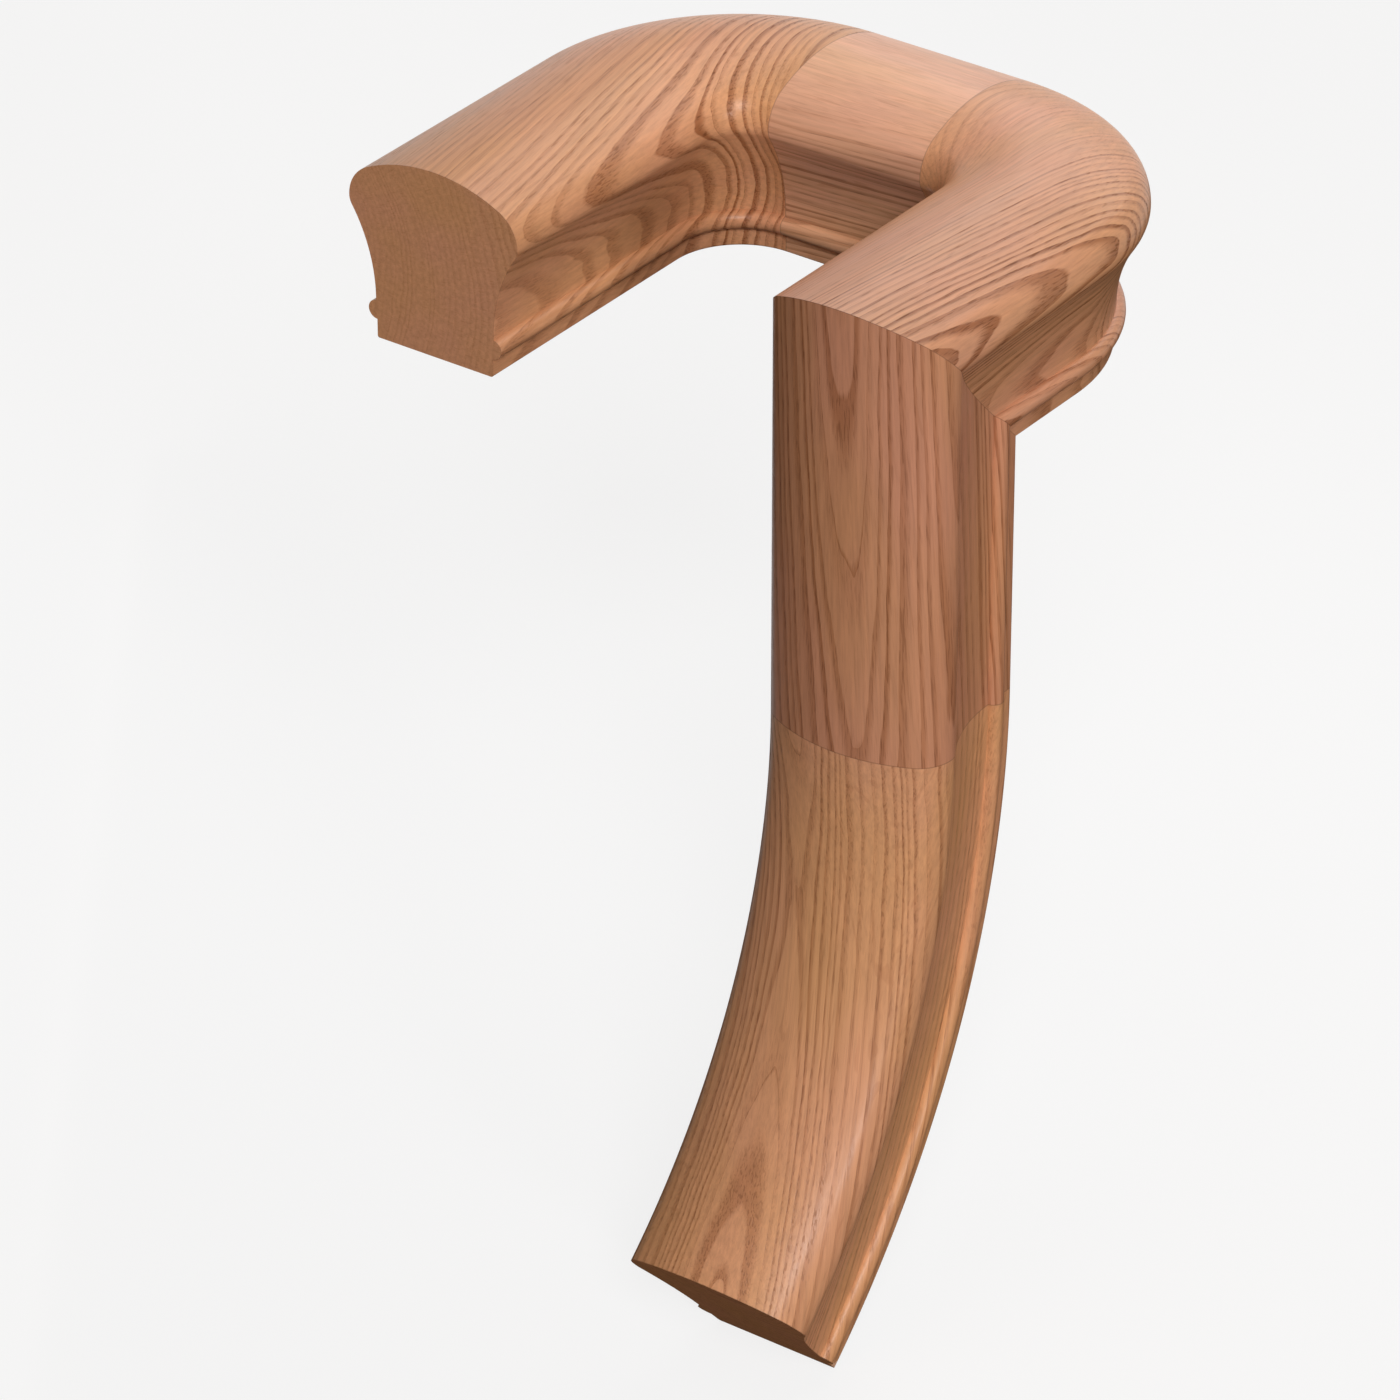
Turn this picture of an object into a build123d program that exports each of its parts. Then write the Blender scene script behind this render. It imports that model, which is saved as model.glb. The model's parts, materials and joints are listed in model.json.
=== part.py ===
from build123d import *
from math import hypot, sqrt
import os

os.makedirs("parts", exist_ok=True)

# Gooseneck handrail fitting: level leg, half turn made of two quarter turns,
# mitred drop and up-easing. The origin is the middle of the level end's joint
# face, +Y runs into the level leg, +Z is up and all sizes are in millimetres.

# Moulded rail section, from its flat base up to the crown
rail_width = 57.15
roll_height = 41.2
crown_rise = 15.2
shoulder_radius = 11.1
lip_radius = 5.2
cove_depth = 8.5
cove_foot_height = 12.2
bead_radius = 2.9
skirt_height = 5.6
skirt_set_in = 0.3
arris_radius = 0.6

# Route of the rail
level_leg = 85.0
inner_turn_radius = 12.7
spacer_length = 50.8
return_leg = 29.0
drop_length = 77.8
easing_radius = 186.6
rake_pitch = 42.0

# Fluted dowels in the glued joints
dowel_diameter = 9.5
dowel_length = 38.0
dowel_chamfer = 1.0
dowel_end_gap = 1.5
dowel_stagger = 12.0
dowel_rise = 15.0
dowel_drop = 19.0
mitre_dowel_rise = 16.0
mitre_dowel_drop = 42.0
flute_count = 18
flute_depth = 0.4

# Sizes that follow from those above
half_width = rail_width / 2
rail_height = roll_height + crown_rise
neck_half_width = half_width - cove_depth
base_half_width = neck_half_width - skirt_set_in
bead_top = skirt_height + 2 * bead_radius
cove_rise = roll_height - cove_foot_height
cove_radius = (cove_depth**2 + cove_rise**2) / (2 * cove_depth) - lip_radius
crown_radius = ((half_width - shoulder_radius) ** 2 + crown_rise**2 - shoulder_radius**2) / (
    2 * (crown_rise - shoulder_radius)
)
turn_radius = inner_turn_radius + half_width
leg_spacing = 2 * turn_radius + spacer_length
base_z = -rail_height / 2
mitre_y = level_leg - return_leg
easing_z = base_z - drop_length
easing_sweep = 90.0 - rake_pitch

# Half section as tangent arcs, mirrored about the middle of the rail
cove_centre = Vector(neck_half_width + cove_radius, cove_foot_height)
lip_centre = Vector(half_width - lip_radius, roll_height)
shoulder_centre = Vector(half_width - shoulder_radius, roll_height)
crown_centre = Vector(0, rail_height - crown_radius)
cove_top = cove_centre + (lip_centre - cove_centre).normalized() * cove_radius
crown_edge = crown_centre + (shoulder_centre - crown_centre).normalized() * crown_radius

with BuildSketch() as rail_section:
    with BuildLine():
        Line((0, 0), (base_half_width, 0))
        Line((base_half_width, 0), (base_half_width, skirt_height))
        CenterArc((base_half_width, skirt_height + bead_radius), bead_radius, -90, 180)
        Line((base_half_width, bead_top), (neck_half_width, bead_top))
        Line((neck_half_width, bead_top), (neck_half_width, cove_foot_height))
        RadiusArc((neck_half_width, cove_foot_height), cove_top, cove_radius)
        RadiusArc(cove_top, (half_width, roll_height), -lip_radius)
        RadiusArc((half_width, roll_height), crown_edge, -shoulder_radius)
        RadiusArc(crown_edge, (0, rail_height), -crown_radius)
        mirror(about=Plane.YZ)
    make_face()
    fillet(rail_section.vertices().group_by(Axis.Y)[0], radius=arris_radius)

# Places where the section stands; local Y points to the crown at each of them
level_end = Plane(origin=(0, 0, base_z), x_dir=(1, 0, 0), z_dir=(0, -1, 0))
first_turn_start = level_end.offset(-level_leg)
first_turn_end = Plane(origin=(turn_radius, level_leg + turn_radius, base_z), x_dir=(0, -1, 0), z_dir=(-1, 0, 0))
second_turn_start = first_turn_end.offset(-spacer_length)
second_turn_end = Plane(origin=(leg_spacing, level_leg, base_z), x_dir=(-1, 0, 0), z_dir=(0, 1, 0))
mitre_face = Plane(origin=(leg_spacing, mitre_y, base_z), x_dir=(1, 0, 0), z_dir=(0, -1, -1))
drop_top = Plane(origin=(leg_spacing, mitre_y, base_z + rail_height), x_dir=(1, 0, 0), z_dir=(0, 0, -1))
easing_start = drop_top.offset(rail_height + drop_length)

# Dowel centres on each glued joint, two to a joint and set on a diagonal
square_heights = (dowel_rise, rail_height - dowel_drop)
mitre_heights = (mitre_dowel_rise, rail_height * sqrt(2) - mitre_dowel_drop)


def dowel_planes(joint, heights, side):
    spots = [(-side * dowel_stagger / 2, heights[0]), (side * dowel_stagger / 2, heights[1])]
    return [Plane(origin=joint.from_local_coords(spot), x_dir=joint.x_dir, z_dir=joint.z_dir) for spot in spots]


dowel_places = {
    "first_turn": dowel_planes(first_turn_end, square_heights, 1),
    "second_turn": dowel_planes(second_turn_start, square_heights, -1),
    "mitre": dowel_planes(mitre_face, mitre_heights, 1),
    "easing": dowel_planes(easing_start, square_heights, 1),
}


def drill_for_dowels(joint_name):
    with Locations(*dowel_places[joint_name]):
        Cylinder(dowel_diameter / 2, dowel_length + 2 * dowel_end_gap, mode=Mode.SUBTRACT)


# Level leg and the first quarter turn, one block
with BuildPart() as level_turn_block:
    with BuildSketch(level_end):
        add(rail_section.sketch)
    extrude(amount=-level_leg)
    with BuildSketch(first_turn_start):
        add(rail_section.sketch)
    revolve(axis=Axis((turn_radius, level_leg, 0), (0, 0, -1)), revolution_arc=90)
    drill_for_dowels("first_turn")
level_turn_block.part.label = "level_turn_block"

# Straight spacer between the turns
with BuildPart() as spacer_block:
    with BuildSketch(first_turn_end):
        add(rail_section.sketch)
    extrude(amount=-spacer_length)
    drill_for_dowels("first_turn")
    drill_for_dowels("second_turn")
spacer_block.part.label = "spacer_block"

# Second quarter turn and the short return leg, cut off along the mitre
with BuildPart() as drop_turn_block:
    with BuildSketch(second_turn_start):
        add(rail_section.sketch)
    revolve(axis=Axis((turn_radius + spacer_length, level_leg, 0), (0, 0, -1)), revolution_arc=90)
    with BuildSketch(second_turn_end):
        add(rail_section.sketch)
    extrude(amount=-(return_leg + rail_height))
    split(bisect_by=mitre_face, keep=Keep.BOTTOM)
    drill_for_dowels("second_turn")
    drill_for_dowels("mitre")
drop_turn_block.part.label = "drop_turn_block"

# Vertical drop, mitred at its top and square at its foot
with BuildPart() as vertical_drop:
    with BuildSketch(drop_top):
        add(rail_section.sketch)
    extrude(amount=rail_height + drop_length)
    split(bisect_by=mitre_face, keep=Keep.TOP)
    drill_for_dowels("mitre")
    drill_for_dowels("easing")
vertical_drop.part.label = "vertical_drop"

# Up-easing, curved about an axis on its crown side and cut square to the rake
with BuildPart() as up_easing:
    with BuildSketch(easing_start):
        add(rail_section.sketch)
    easing_axis = Axis((leg_spacing, mitre_y - rail_height - easing_radius, easing_z), (-1, 0, 0))
    revolve(axis=easing_axis, revolution_arc=easing_sweep)
    drill_for_dowels("easing")
up_easing.part.label = "up_easing"

for block in (level_turn_block, spacer_block, drop_turn_block, vertical_drop, up_easing):
    export_step(block.part, f"parts/{block.part.label}.step")

# Fluted dowels: V grooves side by side, so that the crests bear on the drilled holes
def fluted_outline(crest_radius):
    reaches = (crest_radius, crest_radius - flute_depth) * flute_count
    points = [Vector(reach, 0).rotate(Axis.Z, i * 180 / flute_count) for i, reach in enumerate(reaches)]
    with BuildSketch() as outline:
        with BuildLine():
            Polyline(*points, close=True)
        make_face()
    return outline.sketch


shank_outline = fluted_outline(dowel_diameter / 2)
tip_outline = fluted_outline(dowel_diameter / 2 - dowel_chamfer)
shank_half_length = dowel_length / 2 - dowel_chamfer

for joint_name, places in dowel_places.items():
    for letter, place in zip("ab", places):
        with BuildPart() as dowel:
            with BuildSketch(place.offset(-shank_half_length)):
                add(shank_outline)
            extrude(amount=2 * shank_half_length)
            for end in (-1, 1):
                with BuildSketch(place.offset(end * shank_half_length)):
                    add(shank_outline)
                with BuildSketch(place.offset(end * dowel_length / 2)):
                    add(tip_outline)
                loft(ruled=True)
        dowel.part.label = f"{joint_name}_dowel_{letter}"
        export_step(dowel.part, f"parts/{dowel.part.label}.step")
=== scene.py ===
import bpy
import json
from math import asin, atan2, cos, pi, radians, sin
from mathutils import Matrix, Vector


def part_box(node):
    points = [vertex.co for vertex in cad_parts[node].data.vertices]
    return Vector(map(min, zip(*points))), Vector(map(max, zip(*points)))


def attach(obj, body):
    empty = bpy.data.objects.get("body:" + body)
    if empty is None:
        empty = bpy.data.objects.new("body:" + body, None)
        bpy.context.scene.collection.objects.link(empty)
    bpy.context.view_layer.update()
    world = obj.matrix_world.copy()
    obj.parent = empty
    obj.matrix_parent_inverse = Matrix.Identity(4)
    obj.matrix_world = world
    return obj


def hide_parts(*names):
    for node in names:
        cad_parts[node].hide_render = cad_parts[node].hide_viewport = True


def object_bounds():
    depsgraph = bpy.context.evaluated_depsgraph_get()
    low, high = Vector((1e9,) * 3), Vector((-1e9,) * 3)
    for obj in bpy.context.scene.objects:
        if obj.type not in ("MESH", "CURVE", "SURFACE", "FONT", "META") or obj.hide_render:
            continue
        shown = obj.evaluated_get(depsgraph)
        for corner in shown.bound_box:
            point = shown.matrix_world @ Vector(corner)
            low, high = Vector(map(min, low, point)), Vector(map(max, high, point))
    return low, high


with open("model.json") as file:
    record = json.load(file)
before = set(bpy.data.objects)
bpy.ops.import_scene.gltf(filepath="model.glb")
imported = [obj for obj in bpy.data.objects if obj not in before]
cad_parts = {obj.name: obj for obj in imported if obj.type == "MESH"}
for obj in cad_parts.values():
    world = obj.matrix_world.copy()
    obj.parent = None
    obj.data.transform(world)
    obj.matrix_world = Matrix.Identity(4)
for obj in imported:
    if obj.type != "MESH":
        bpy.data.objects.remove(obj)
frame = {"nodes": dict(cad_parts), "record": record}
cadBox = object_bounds()
mm = 0.001


def linear(hexColour):
    # sRGB hex to the linear colour that the shader works in
    parts = [int(hexColour[i:i + 2], 16) / 255 for i in (0, 2, 4)]
    return [p / 12.92 if p <= 0.04045 else ((p + 0.055) / 1.055) ** 2.4 for p in parts] + [1.0]


def addNode(tree, kind, settings=None, inputs=None):
    # adds a node, its settings, and its inputs as values or links
    node = tree.nodes.new(kind)
    for name, value in (settings or {}).items():
        setattr(node, name, value)
    for key, value in (inputs or {}).items():
        if isinstance(value, bpy.types.NodeSocket):
            tree.links.new(value, node.inputs[key])
        else:
            node.inputs[key].default_value = value
    return node


def mathIn(tree):
    # gives a function that adds one sum to this tree and returns its result
    def compute(operation, a, b=0.0, c=0.0):
        return addNode(tree, "ShaderNodeMath", {"operation": operation}, {0: a, 1: b, 2: c}).outputs[0]
    return compute


# the moulded rail section, in millimetres from its flat base; step is the facet length along its arcs,
# and edges that turn by more than crease degrees stay sharp
section = {
    "rollHeight": 41.2,
    "shoulderRadius": 11.1,
    "lipRadius": 5.2,
    "coveDepth": 8.5,
    "coveFoot": 12.2,
    "beadRadius": 2.9,
    "skirtHeight": 5.6,
    "skirtSetIn": 0.3,
    "arrisRadius": 0.6,
    "step": 0.7,
    "crease": 32.0,
}

# route sizes read from the frame
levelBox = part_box("level_turn_block")
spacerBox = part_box("spacer_block")
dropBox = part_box("vertical_drop")
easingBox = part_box("up_easing")
rakeEnd = next(m for m in frame["record"]["mounts"] if m["name"] == "rake_end")
railWidth = dropBox[1].x - dropBox[0].x
railHeight = spacerBox[1].z - spacerBox[0].z
baseZ = spacerBox[0].z
turnRadius = spacerBox[0].x
spacerLength = spacerBox[1].x - spacerBox[0].x
levelLeg = levelBox[1].y - turnRadius - railWidth / 2
legSpacing = 2 * turnRadius + spacerLength
mitreY = dropBox[1].y
easingZ = easingBox[1].z
dropLength = baseZ - easingZ
easingSweep = asin(-rakeEnd["axis"][1])
# the crown side radius follows from where the rake end's middle lies
rakeReach = mitreY - railHeight - rakeEnd["pos_m"][1] + railHeight / 2 * cos(easingSweep)
easingRadius = rakeReach / (1 - cos(easingSweep))


def arcPoints(centre, radius, start, end):
    steps = max(3, int(abs(end - start) * radius / section["step"]) + 1)
    return [(centre[0] + radius * cos(start + (end - start) * i / steps),
             centre[1] + radius * sin(start + (end - start) * i / steps)) for i in range(steps + 1)]


def railOutline():
    # right side from the base up, as tangent arcs, then mirrored
    s = section
    half = railWidth / mm / 2
    height = railHeight / mm
    neck = half - s["coveDepth"]
    base = neck - s["skirtSetIn"]
    beadTop = s["skirtHeight"] + 2 * s["beadRadius"]
    rise = s["rollHeight"] - s["coveFoot"]
    coveRadius = (s["coveDepth"] ** 2 + rise ** 2) / (2 * s["coveDepth"]) - s["lipRadius"]
    crownRise = height - s["rollHeight"]
    inset = half - s["shoulderRadius"]
    crownRadius = inset ** 2 + crownRise ** 2 - s["shoulderRadius"] ** 2
    crownRadius /= 2 * (crownRise - s["shoulderRadius"])
    coveTurn = asin(rise / (coveRadius + s["lipRadius"]))
    crownTurn = atan2(s["rollHeight"] - height + crownRadius, inset)
    arris = s["arrisRadius"]
    right = arcPoints((base - arris, arris), arris, -pi / 2, 0)
    right += arcPoints((base, s["skirtHeight"] + s["beadRadius"]), s["beadRadius"], -pi / 2, pi / 2)
    right += [(neck, beadTop)]
    right += arcPoints((neck + coveRadius, s["coveFoot"]), coveRadius, pi, pi - coveTurn)
    right += arcPoints((half - s["lipRadius"], s["rollHeight"]), s["lipRadius"], -coveTurn, 0)[1:]
    right += arcPoints((inset, s["rollHeight"]), s["shoulderRadius"], 0, crownTurn)[1:]
    right += arcPoints((0, height - crownRadius), crownRadius, crownTurn, pi / 2)[1:]
    return [(x * mm, y * mm) for x, y in right + [(-x, y) for x, y in reversed(right[:-1])]]


def makeSectionCurve():
    points = railOutline()
    data = bpy.data.curves.new("railSection", "CURVE")
    spline = data.splines.new("POLY")
    spline.points.add(len(points) - 1)
    for point, (x, y) in zip(spline.points, points):
        point.co = (x, y, 0, 1)
    spline.use_cyclic_u = True
    return bpy.data.objects.new("railSection", data)


def makeSweepTree():
    # carries the section along a lead, a bend and a tail; slopes slant the two ends for a mitre,
    # and Bend Up turns the bend from sideways to the crown's side
    tree = bpy.data.node_groups.new("railSweep", "GeometryNodeTree")
    compute = mathIn(tree)
    wanted = [("Section", "Object"), ("Lead", "Float"), ("Bend Radius", "Float"), ("Bend Angle", "Float"),
              ("Tail", "Float"), ("Lead Slope", "Float"), ("Tail Slope", "Float"), ("Bend Up", "Float"),
              ("Rings", "Int"), ("Material", "Material")]
    tree.interface.new_socket("Geometry", in_out="INPUT", socket_type="NodeSocketGeometry")
    for name, kind in wanted:
        tree.interface.new_socket(name, in_out="INPUT", socket_type="NodeSocket" + kind)
    tree.interface.new_socket("Geometry", in_out="OUTPUT", socket_type="NodeSocketGeometry")
    given = addNode(tree, "NodeGroupInput").outputs
    outline = addNode(tree, "GeometryNodeObjectInfo", None, {"Object": given["Section"]})
    line = addNode(tree, "GeometryNodeCurvePrimitiveLine", None, {"Start": (0, 0, 0), "End": (0, 0, 1)})
    rings = addNode(tree, "GeometryNodeResampleCurve", None,
                    {"Curve": line.outputs[0], "Count": given["Rings"]})
    tube = addNode(tree, "GeometryNodeCurveToMesh", None,
                   {"Curve": rings.outputs[0], "Profile Curve": outline.outputs["Geometry"],
                    "Fill Caps": True})
    place = addNode(tree, "ShaderNodeSeparateXYZ", None,
                    {0: addNode(tree, "GeometryNodeInputPosition").outputs[0]})
    across, up, share = place.outputs[0], place.outputs[1], place.outputs[2]

    # distance along the run, from the slanted first end to the slanted last one
    arc = compute("MULTIPLY", given["Bend Radius"], given["Bend Angle"])
    first = compute("MULTIPLY_ADD", compute("MULTIPLY", up, given["Lead Slope"]), -1.0,
                    compute("MULTIPLY", given["Lead"], -1.0))
    last = compute("MULTIPLY", up, given["Tail Slope"])
    last = compute("ADD", compute("ADD", arc, given["Tail"]), last)
    along = compute("MULTIPLY_ADD", compute("SUBTRACT", last, first), share, first)
    bent = compute("MINIMUM", compute("MAXIMUM", along, 0.0), arc)
    turn = compute("DIVIDE", bent, given["Bend Radius"])
    straight = compute("SUBTRACT", along, bent)

    # the point's offset towards the bend's centre and its travel
    swap = compute("MULTIPLY", compute("SUBTRACT", up, across), given["Bend Up"])
    inward = compute("ADD", across, swap)
    sideways = compute("SUBTRACT", up, swap)
    reach = compute("SUBTRACT", given["Bend Radius"], inward)
    arcOffset = compute("SUBTRACT", given["Bend Radius"], compute("MULTIPLY", reach, compute("COSINE", turn)))
    offset = compute("MULTIPLY_ADD", straight, compute("SINE", turn), arcOffset)
    arcTravel = compute("MULTIPLY", reach, compute("SINE", turn))
    travel = compute("MULTIPLY_ADD", straight, compute("COSINE", turn), arcTravel)
    swapBack = compute("MULTIPLY", compute("SUBTRACT", sideways, offset), given["Bend Up"])
    spot = addNode(tree, "ShaderNodeCombineXYZ", None,
                   {0: compute("ADD", offset, swapBack), 1: travel,
                    2: compute("SUBTRACT", sideways, swapBack)})

    gap = compute("MINIMUM", compute("SUBTRACT", along, first), compute("SUBTRACT", last, along))
    marked = addNode(tree, "GeometryNodeStoreNamedAttribute", {"data_type": "FLOAT", "domain": "POINT"},
                     {"Geometry": tube.outputs[0], "Name": "endGap", "Value": gap})
    moved = addNode(tree, "GeometryNodeSetPosition", None,
                    {"Geometry": marked.outputs[0], "Position": spot.outputs[0]})
    whole = addNode(tree, "GeometryNodeRealizeInstances", None, {"Geometry": moved.outputs[0]})
    painted = addNode(tree, "GeometryNodeSetMaterial", None,
                      {"Geometry": whole.outputs[0], "Material": given["Material"]})
    addNode(tree, "NodeGroupOutput", None, {0: painted.outputs[0]})
    return tree


# each block: where its bend starts, its travel and crown directions, and its run
blocks = {
    "level_turn_block": {"start": (0, levelLeg, baseZ), "travel": (0, 1, 0), "crown": (0, 0, 1),
                         "Lead": levelLeg, "Bend Radius": turnRadius, "Bend Angle": pi / 2, "Rings": 140},
    "spacer_block": {"start": (turnRadius, levelLeg + turnRadius, baseZ), "travel": (1, 0, 0),
                     "crown": (0, 0, 1), "Tail": spacerLength, "Rings": 40},
    "drop_turn_block": {"start": (turnRadius + spacerLength, levelLeg + turnRadius, baseZ),
                        "travel": (1, 0, 0), "crown": (0, 0, 1), "Bend Radius": turnRadius,
                        "Bend Angle": pi / 2, "Tail": levelLeg - mitreY, "Tail Slope": 1.0, "Rings": 120},
    "vertical_drop": {"start": (legSpacing, mitreY, easingZ), "travel": (0, 0, -1), "crown": (0, -1, 0),
                      "Lead": dropLength, "Lead Slope": 1.0, "Rings": 90},
    "up_easing": {"start": (legSpacing, mitreY, easingZ), "travel": (0, 0, -1), "crown": (0, -1, 0),
                  "Bend Radius": easingRadius + railHeight, "Bend Angle": easingSweep, "Bend Up": 1.0,
                  "Rings": 150},
}


def makeBlock(name, tree, outline, coated, sawn):
    run = blocks[name]
    maker = bpy.data.objects.new(name + "Maker", bpy.data.meshes.new(name + "Maker"))
    bpy.context.scene.collection.objects.link(maker)
    modifier = maker.modifiers.new("railSweep", "NODES")
    modifier.node_group = tree
    values = {"Section": outline, "Lead": 0.0, "Bend Radius": 1.0, "Bend Angle": 0.0, "Tail": 0.0,
              "Lead Slope": 0.0, "Tail Slope": 0.0, "Bend Up": 0.0, "Rings": 2, "Material": coated}
    values.update({k: v for k, v in run.items() if k in values})
    for item in tree.interface.items_tree:
        if item.in_out == "INPUT" and item.name in values:
            modifier[item.identifier] = values[item.name]
    ready = maker.evaluated_get(bpy.context.evaluated_depsgraph_get())
    mesh = bpy.data.meshes.new_from_object(ready)
    mesh.name = name
    bpy.data.objects.remove(maker)
    travel = Vector(run["travel"])
    crown = Vector(run["crown"])
    side = travel.cross(crown)
    axes = Matrix((side, travel, crown)).transposed().to_4x4()
    mesh.transform(Matrix.Translation(Vector(run["start"])) @ axes)
    mesh.materials.append(sawn)
    for polygon in mesh.polygons:
        polygon.use_smooth = True
        polygon.material_index = 1 if len(polygon.vertices) > 4 else 0  # the two cut ends
    mesh.set_sharp_from_angle(angle=radians(section["crease"]))
    piece = bpy.data.objects.new(name + "_wood", mesh)
    bpy.context.scene.collection.objects.link(piece)
    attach(piece, "root")
    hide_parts(name)


# how each board was laid in its blank, in millimetres: a point on the log's pith and the way the grain
# runs, how far the stem bows to the side and over what half length, the ring width at a distance from the
# pith, how fast rings widen outwards (1 = even), how far they wander, how strong the dark lines are, from
# which distance to which they come in and from what share, and by how many rings the lines are moved in
boards = {
    "level_turn_block": {"pith": (-82, 60, -8), "grain": (-0.17, 1, 0.01), "bow": (0, 0, 0),
                         "bowReach": 100.0, "ringWidth": 2.3, "at": 95.0, "power": 0.2, "wander": 2.6,
                         "contrast": 0.9, "faint": (84, 118, 0.35), "lateWood": "dcaa86", "seed": 3.0,
                         "shift": 0.0},
    "spacer_block": {"pith": (66, 120, -95), "grain": (1, 0.0, 0.05), "bow": (0, 0, 0),
                     "bowReach": 100.0, "ringWidth": 2.4, "at": 120.0, "power": 1.0, "wander": 3.0,
                     "contrast": 0.7, "faint": (122, 108, 0.25), "lateWood": "e8bca0", "seed": 11.0,
                     "shift": 0.0},
    "drop_turn_block": {"pith": (38, 60, -25), "grain": (0.09, 1, 0.03), "bow": (0, 0, 0),
                        "bowReach": 100.0, "ringWidth": 1.75, "at": 95.0, "power": 1.0, "wander": 3.0,
                        "contrast": 0.9, "faint": (98, 117, 0.3), "lateWood": "dca988", "seed": 27.0,
                        "shift": 0.0},
    "vertical_drop": {"pith": (136.9, 8.7, -47), "grain": (-0.037, -0.06, 1), "bow": (0, 0, 0),
                      "bowReach": 100.0, "ringWidth": 2.5, "at": 30.0, "power": 1.0, "wander": 0.7,
                      "contrast": 0.7, "faint": (0, 1, 1.0), "lateWood": "d29e80", "seed": 41.0,
                      "shift": -0.86},
    "up_easing": {"pith": (127.9, -35.9, -174.5), "grain": (-0.159, 0.362, 0.934), "bow": (0, 7.5, -3.4),
                  "bowReach": 78.0, "ringWidth": 2.5, "at": 30.0, "power": 1.0, "wander": 0.8,
                  "contrast": 0.55, "faint": (0, 1, 1.0), "lateWood": "dfad87", "seed": 58.0,
                  "shift": -1.05},
}

# colours and figure of the wood itself, sizes in millimetres
oak = {
    "earlyWood": "9c6540",
    "pore": "6e4328",
    "ray": "b57f5c",
    "pinkTone": "f4e2dc",
    "goldTone": "f0e2cc",
    "glueLine": "5e3b27",
    "wanderSize": 45.0,
    "wanderStretch": 5.0,
    "wobbleSize": 7.0,
    "wobbleStretch": 6.0,
    "wobble": 0.45,
    "noiseGain": 4.0,  # a noise strays by about a quarter, so this makes wander and wobble its full reach
    "yearScale": 0.23,  # good and poor years follow each other over about four rings
    "yearChange": 2.5,
    "lineRise": (0.93, 1.0),  # shares of a ring in which its dark line comes in and fades
    "lineFall": (0.12, 0.55),
    "lineVaries": 0.75,
    "poreWidth": 0.42,  # really about 0.3 mm, drawn a little coarser so that they show
    "poreLength": 9.0,
    "poreCut": (0.5, 0.64),
    "poreInLine": 0.9,
    "poreShare": 0.75,
    "fibreWidth": 1.2,
    "fibreLength": 55.0,
    "fibreShade": 0.5,
    "toneSize": 28.0,
    "toneStretch": 3.0,
    "toneCut": (0.3, 0.7),
    "rayWidth": 0.55,
    "rayLength": 12.0,
    "rayDepth": 6.0,
    "rayCut": (0.66, 0.74),
    "rayShare": 0.25,
    "endGrainCut": (0.3, 0.95),
    # painted fill light: on coated faces where the cut runs across the grain, the colour is brightened by
    # this share
    "endGrainPaintedLight": 0.12,
    "glueReach": (0.05, 0.3),  # a real glue line is finer, it is drawn as wide as it needs to show
    "glueShare": 0.4,
    "roughness": 0.26,
    "fibreRoughness": 0.12,
    "poreRoughness": 0.3,
    "ior": 1.5,
    "specular": 0.25,
    "bumpStrength": 0.4,
    "bumpDepth": 0.15,
    "fibreBump": 0.25,
    "sawnContrast": 0.5,  # the two cut ends carry no coat, so they are plainer and dull; the next value is painted fill light that brightens their colour
    "sawnPaintedLight": 0.42,
}


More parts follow.
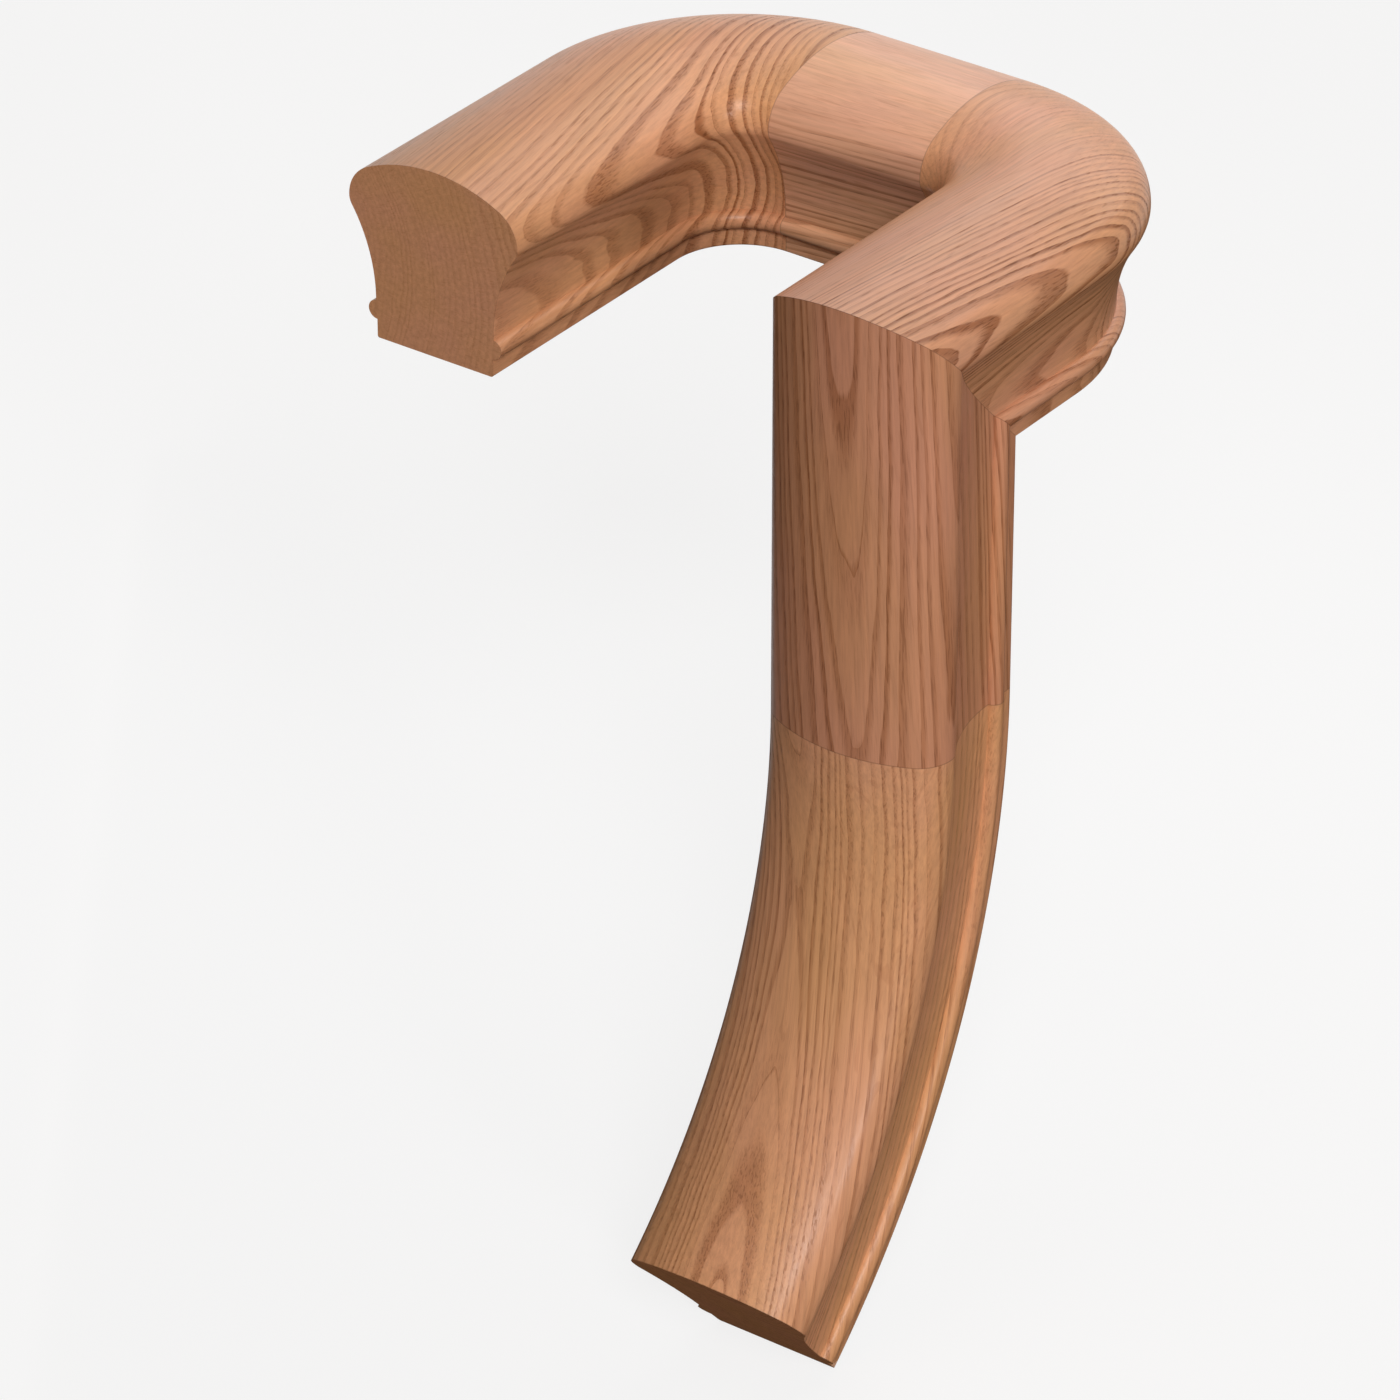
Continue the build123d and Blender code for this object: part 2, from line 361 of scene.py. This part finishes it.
def makeOak(name, sawn=False):
    # red oak, planed and sanded under a satin clear coat: dark porous lines at the start of each ring,
    # smooth pinkish wood between them, soft sheen
    board = boards[name]
    material = bpy.data.materials.new(("sawn oak " if sawn else "red oak ") + name)
    material.use_nodes = True
    tree = material.node_tree
    shader = tree.nodes["Principled BSDF"]
    compute = mathIn(tree)

    def vector(operation, a, b=(0, 0, 0), c=(0, 0, 0)):
        return addNode(tree, "ShaderNodeVectorMath", {"operation": operation}, {0: a, 1: b, 2: c})

    def remap(value, span, newLow=0.0, newHigh=1.0):
        return addNode(tree, "ShaderNodeMapRange", {"interpolation_type": "SMOOTHSTEP"},
                       {0: value, 1: span[0], 2: span[1], 3: newLow, 4: newHigh}).outputs[0]

    def noise(where, size, stretch=1.0, detail=1.0, seed=0.0):
        squeezed = vector("MULTIPLY", where, (1 / size, 1 / size, 1 / (size * stretch))).outputs[0]
        return addNode(tree, "ShaderNodeTexNoise", {"noise_dimensions": "4D"},
                       {"Vector": squeezed, "W": board["seed"] + seed, "Scale": 1.0,
                        "Detail": detail}).outputs

    def mix(factor, a, b, blend="MIX"):
        return addNode(tree, "ShaderNodeMix", {"data_type": "RGBA", "blend_type": blend},
                       {0: factor, 6: a, 7: b}).outputs[2]

    # the board's own frame: its Z along the grain, its origin on the pith, one unit a millimetre
    grain = Vector(board["grain"]).normalized()
    turn = Vector((0, 0, 1)).rotation_difference(grain).to_euler()
    spot = addNode(tree, "ShaderNodeTexCoord").outputs
    inBoard = addNode(tree, "ShaderNodeMapping", {"vector_type": "TEXTURE"},
                      {"Vector": spot["Object"], "Location": Vector(board["pith"]) * mm, "Rotation": turn,
                       "Scale": (mm, mm, mm)}).outputs[0]

    # growth rings: distance from the bowed pith, with a slow wander and a small wobble
    along = vector("DOT_PRODUCT", inBoard, (0, 0, 1 / board["bowReach"])).outputs[1]
    bow = turn.to_matrix().transposed() @ Vector(board["bow"])
    bent = vector("SCALE", tuple(-v for v in bow))
    fromMiddle = compute("MULTIPLY_ADD", compute("MULTIPLY", along, along), -1.0, 1.0)
    tree.links.new(fromMiddle, bent.inputs["Scale"])
    inStem = vector("ADD", inBoard, bent.outputs[0]).outputs[0]
    slow = noise(inBoard, oak["wanderSize"], oak["wanderStretch"])[1]
    slow = vector("SUBTRACT", slow, (0.5, 0.5, 0.5)).outputs[0]
    quick = noise(inBoard, oak["wobbleSize"], oak["wobbleStretch"], detail=2.0, seed=5.0)[1]
    quick = vector("SUBTRACT", quick, (0.5, 0.5, 0.5)).outputs[0]
    drift = vector("MULTIPLY_ADD", slow, (board["wander"] * oak["noiseGain"],) * 3, inStem).outputs[0]
    drift = vector("MULTIPLY_ADD", quick, (oak["wobble"] * oak["noiseGain"],) * 3, drift).outputs[0]
    radius = vector("LENGTH", vector("MULTIPLY", drift, (1, 1, 0)).outputs[0]).outputs[1]
    even = compute("POWER", compute("DIVIDE", radius, board["at"]), board["power"])
    ringCount = compute("MULTIPLY", even, board["at"] / (board["power"] * board["ringWidth"]))
    years = addNode(tree, "ShaderNodeTexNoise", {"noise_dimensions": "1D"},
                    {"W": compute("ADD", ringCount, board["seed"]), "Scale": oak["yearScale"],
                     "Detail": 1.0}).outputs[0]
    ringCount = compute("ADD", compute("MULTIPLY_ADD", years, oak["yearChange"], ringCount), board["shift"])
    ring = compute("FLOOR", ringCount)
    within = compute("FRACT", ringCount)
    strength = addNode(tree, "ShaderNodeTexWhiteNoise", {"noise_dimensions": "1D"}, {"W": ring}).outputs[0]
    strength = compute("MULTIPLY_ADD", strength, oak["lineVaries"], 1 - oak["lineVaries"])
    line = compute("MAXIMUM", remap(within, oak["lineRise"]), remap(within, oak["lineFall"], 1.0, 0.0))
    porous = compute("MULTIPLY", line, strength)
    nearest, full, share = board["faint"]
    porous = compute("MULTIPLY", porous, remap(radius, (nearest, full), share, 1.0))
    porous = compute("MULTIPLY", porous, board["contrast"] * (oak["sawnContrast"] if sawn else 1.0))

    # where the cut runs across the grain
    facing = vector("DOT_PRODUCT", spot["Normal"], grain).outputs[1]
    endGrain = remap(compute("ABSOLUTE", facing), oak["endGrainCut"])

    # open pores crowd in the dark lines, fibre runs through everything, the tone drifts slowly
    pores = noise(inBoard, oak["poreWidth"], oak["poreLength"] / oak["poreWidth"], seed=9.0)[0]
    crowding = compute("MULTIPLY_ADD", porous, oak["poreInLine"], 1 - oak["poreInLine"])
    pores = compute("MULTIPLY", remap(pores, oak["poreCut"]), crowding)
    fibre = noise(inBoard, oak["fibreWidth"], oak["fibreLength"] / oak["fibreWidth"],
                  detail=3.0, seed=13.0)[0]
    tone = noise(inBoard, oak["toneSize"], oak["toneStretch"], detail=2.0, seed=17.0)[0]

    # rays stand on the pith like spokes, so they show as short dashes on a flat sawn face
    place = addNode(tree, "ShaderNodeSeparateXYZ", None, {0: drift}).outputs
    angle = compute("MULTIPLY", compute("ARCTAN2", place[1], place[0]), board["at"])
    spoke = addNode(tree, "ShaderNodeCombineXYZ", None,
                    {0: angle, 1: compute("DIVIDE", radius, oak["rayDepth"]), 2: place[2]}).outputs[0]
    rays = noise(spoke, oak["rayWidth"], oak["rayLength"] / oak["rayWidth"], detail=0.0, seed=21.0)[0]
    rays = remap(rays, oak["rayCut"])

    colour = mix(porous, linear(board["lateWood"]), linear(oak["earlyWood"]))
    colour = mix(compute("MULTIPLY", pores, oak["poreShare"]), colour, linear(oak["pore"]))
    colour = mix(compute("MULTIPLY", rays, oak["rayShare"]), colour, linear(oak["ray"]))
    cast = mix(remap(tone, oak["toneCut"]), linear(oak["pinkTone"]), linear(oak["goldTone"]))
    colour = mix(1.0, colour, cast, "MULTIPLY")
    shade = compute("MULTIPLY_ADD", fibre, oak["fibreShade"], 1 - oak["fibreShade"] / 2)
    # painted fill light: the colour is brightened where the cut runs across the grain, most on the two
    # uncoated cut ends, to light faces that the lamps leave dark
    paintedEndLight = compute("MULTIPLY_ADD", endGrain, oak["sawnPaintedLight"] if sawn else oak["endGrainPaintedLight"], 1.0)
    shaded = vector("SCALE", colour)
    tree.links.new(compute("MULTIPLY", shade, paintedEndLight), shaded.inputs["Scale"])
    gap = addNode(tree, "ShaderNodeAttribute", {"attribute_name": "endGap"}).outputs["Fac"]
    glue = remap(gap, [reach * mm for reach in oak["glueReach"]], oak["glueShare"], 0.0)
    tree.links.new(mix(glue, shaded.outputs[0], linear(oak["glueLine"])), shader.inputs["Base Color"])

    rough = compute("MULTIPLY_ADD", fibre, oak["fibreRoughness"], oak["roughness"])
    rough = compute("MULTIPLY_ADD", pores, oak["poreRoughness"], rough)
    tree.links.new(rough, shader.inputs["Roughness"])
    height = compute("MULTIPLY_ADD", pores, -1.0, compute("MULTIPLY", fibre, oak["fibreBump"]))
    bump = addNode(tree, "ShaderNodeBump", None,
                   {"Strength": oak["bumpStrength"], "Distance": oak["bumpDepth"] * mm, "Height": height})
    tree.links.new(bump.outputs[0], shader.inputs["Normal"])
    shader.inputs["IOR"].default_value = oak["ior"]
    shader.inputs["Specular IOR Level"].default_value = 0.0 if sawn else oak["specular"]
    return material


sweepTree = makeSweepTree()
sectionCurve = makeSectionCurve()
for blockName in blocks:
    makeBlock(blockName, sweepTree, sectionCurve, makeOak(blockName), makeOak(blockName, sawn=True))
print("wood blocks made")

# birch of the hidden dowels, in millimetres: pale, even wood with a fine fleck
birch = {"pale": "dcc09a", "dark": "c4a277", "fleckSize": 0.8, "roughness": 0.6, "ior": 1.5}


def makeBirch():
    # birch, turned and fluted, left unfinished
    material = bpy.data.materials.new("birch dowel")
    material.use_nodes = True
    tree = material.node_tree
    shader = tree.nodes["Principled BSDF"]
    spot = addNode(tree, "ShaderNodeTexCoord").outputs["Object"]
    fleck = addNode(tree, "ShaderNodeTexNoise", None,
                    {"Vector": spot, "Scale": 1 / (birch["fleckSize"] * mm), "Detail": 3.0})
    colour = addNode(tree, "ShaderNodeMix", {"data_type": "RGBA"},
                     {0: fleck.outputs[0], 6: linear(birch["pale"]), 7: linear(birch["dark"])})
    tree.links.new(colour.outputs[2], shader.inputs["Base Color"])
    shader.inputs["Roughness"].default_value = birch["roughness"]
    shader.inputs["IOR"].default_value = birch["ior"]
    return material


birchWood = makeBirch()
for nodeName, node in frame["nodes"].items():
    if "dowel" in nodeName:
        node.data.materials.clear()
        node.data.materials.append(birchWood)
print("dowels painted")

# where the photographer stood: angles in degrees, distances in millimetres
view = {"azimuth": 36.05, "elevation": 30.66, "distance": 2237.45, "lens": 208.43,
        "target": (70.42, 25.77, -124.46)}
azimuth, elevation = radians(view["azimuth"]), radians(view["elevation"])
target = Vector(view["target"]) * mm
forward = Vector((-sin(azimuth) * cos(elevation), cos(azimuth) * cos(elevation), -sin(elevation)))
cameraData = bpy.data.cameras.new("camera")
cameraData.lens = view["lens"]
camera = bpy.data.objects.new("camera", cameraData)
camera.location = target - forward * view["distance"] * mm
camera.rotation_euler = forward.to_track_quat("-Z", "Y").to_euler()
bpy.context.scene.collection.objects.link(camera)
bpy.context.scene.camera = camera
print("camera set")

# a pale floor and room, in metres; floorWhite is how much of the seen white is the paint's own glow
studio = {
    "floorSize": 12.0,
    "floorSeen": "f4f4f4",
    "floorBounce": "6c6258",
    "floorWhite": 0.8,
    "paintRoughness": 0.9,
    "sky": "ffe8d2",
    "skyStrength": 0.12,
}

# far softboxes: the way each one lies from the fitting, its spread in degrees and its level, where a
# level of 1 lights a white sheet that faces it to full white
softboxes = {
    "softbox": {"direction": (0.52, -0.6, 0.61), "spread": 22.0, "level": 0.56},
    "side softbox": {"direction": (0.85, -0.49, 0.22), "spread": 10.0, "level": 0.27},
    "overhead softbox": {"direction": (-0.2, -0.3, 0.93), "spread": 30.0, "level": 0.06},
}

# a near softbox over the turns, in metres, with its level at the point it aims for
topSoftbox = {"place": (0.05, 0.33, 0.29), "aim": (0.07, 0.1, 0.0), "size": 0.4, "level": 0.64}

cardLift = 0.002  # metres between the floor and the back card

# felt cards that the camera doesn't see: one at the left keeps the drop's left edge in shade, the other
# lies behind, a little over the floor, and takes the floor's glare out of the coves; metres and degrees
cards = {
    "left card": {"size": (0.7, 0.5), "place": (-0.13, -0.02, -0.02), "turn": (90.0, 0.0, 126.0),
                  "shades": True},
    "back card": {"size": (0.8, 1.0), "place": (0.25, 0.4, cadBox[0].z + cardLift), "turn": (0.0, 0.0, 0.0),
                  "shades": False},
}
feltColour = "3a322c"


def seenDirectly(tree):
    # 1 where the camera sees a surface straight, in a reflection or through glass
    compute = mathIn(tree)
    path = addNode(tree, "ShaderNodeLightPath").outputs
    either = compute("MAXIMUM", path["Is Camera Ray"], path["Is Glossy Ray"])
    return compute("MAXIMUM", either, path["Is Transmission Ray"])


def makeSheet(name, wide, high):
    data = bpy.data.meshes.new(name)
    corners = [(x * wide / 2, y * high / 2, 0) for x, y in ((-1, -1), (1, -1), (1, 1), (-1, 1))]
    data.from_pydata(corners, [], [(0, 1, 2, 3)])
    sheet = bpy.data.objects.new(name, data)
    bpy.context.scene.collection.objects.link(sheet)
    return sheet


def makeWhitePaint():
    # matt white paint: seen as white, while what bounces onto the wood is dimmer, as from a real floor
    material = bpy.data.materials.new("matt white paint")
    material.use_nodes = True
    tree = material.node_tree
    shader = tree.nodes["Principled BSDF"]
    seen = seenDirectly(tree)
    lit = [v * (1 - studio["floorWhite"]) for v in linear(studio["floorSeen"])[:3]] + [1.0]
    colour = addNode(tree, "ShaderNodeMix", {"data_type": "RGBA"},
                     {0: seen, 6: linear(studio["floorBounce"]), 7: lit})
    tree.links.new(colour.outputs[2], shader.inputs["Base Color"])
    glow = mathIn(tree)("MULTIPLY", seen, studio["floorWhite"])
    shader.inputs["Emission Color"].default_value = (1, 1, 1, 1)
    tree.links.new(glow, shader.inputs["Emission Strength"])
    shader.inputs["Roughness"].default_value = studio["paintRoughness"]
    shader.inputs["Specular IOR Level"].default_value = 0.0
    return material


def makeFelt():
    # black felt: no sheen at all
    material = bpy.data.materials.new("black felt")
    material.use_nodes = True
    shader = material.node_tree.nodes["Principled BSDF"]
    shader.inputs["Base Color"].default_value = linear(feltColour)
    shader.inputs["Roughness"].default_value = 1.0
    shader.inputs["Specular IOR Level"].default_value = 0.0
    return material


floor = makeSheet("floor", studio["floorSize"], studio["floorSize"])
floor.location.z = cadBox[0].z
floor.data.materials.append(makeWhitePaint())

felt = makeFelt()
for cardName, setting in cards.items():
    card = makeSheet(cardName, *setting["size"])
    card.location = setting["place"]
    card.rotation_euler = [radians(v) for v in setting["turn"]]
    card.visible_camera = False
    card.visible_shadow = False
    card.visible_diffuse = setting["shades"]
    card.data.materials.append(felt)
print("floor and cards set")

world = bpy.data.worlds.new("studio")
bpy.context.scene.world = world
world.use_nodes = True
worldTree = world.node_tree
skySeen = seenDirectly(worldTree)
strength = addNode(worldTree, "ShaderNodeMapRange", None, {0: skySeen, 3: studio["skyStrength"], 4: 1.0})
tint = addNode(worldTree, "ShaderNodeMix", {"data_type": "RGBA"},
               {0: skySeen, 6: linear(studio["sky"]), 7: (1, 1, 1, 1)})
background = worldTree.nodes["Background"]
worldTree.links.new(tint.outputs[2], background.inputs["Color"])
worldTree.links.new(strength.outputs[0], background.inputs["Strength"])

for lampName, setting in softboxes.items():
    lampData = bpy.data.lights.new(lampName, "SUN")
    lampData.angle = radians(setting["spread"])
    lampData.energy = setting["level"] * pi
    lamp = bpy.data.objects.new(lampName, lampData)
    aim = Vector(setting["direction"]).normalized()
    lamp.location = target + aim
    lamp.rotation_euler = aim.to_track_quat("Z", "Y").to_euler()
    bpy.context.scene.collection.objects.link(lamp)

topPlace = Vector(topSoftbox["place"])
topAim = topPlace - Vector(topSoftbox["aim"])
topData = bpy.data.lights.new("top softbox", "AREA")
topData.size = topSoftbox["size"]
topData.energy = topSoftbox["level"] * (pi * topAim.length) ** 2
top = bpy.data.objects.new("top softbox", topData)
top.location = topPlace
top.rotation_euler = topAim.to_track_quat("Z", "Y").to_euler()
bpy.context.scene.collection.objects.link(top)
print("lamps set")

bpy.context.scene.view_settings.view_transform = "Standard"
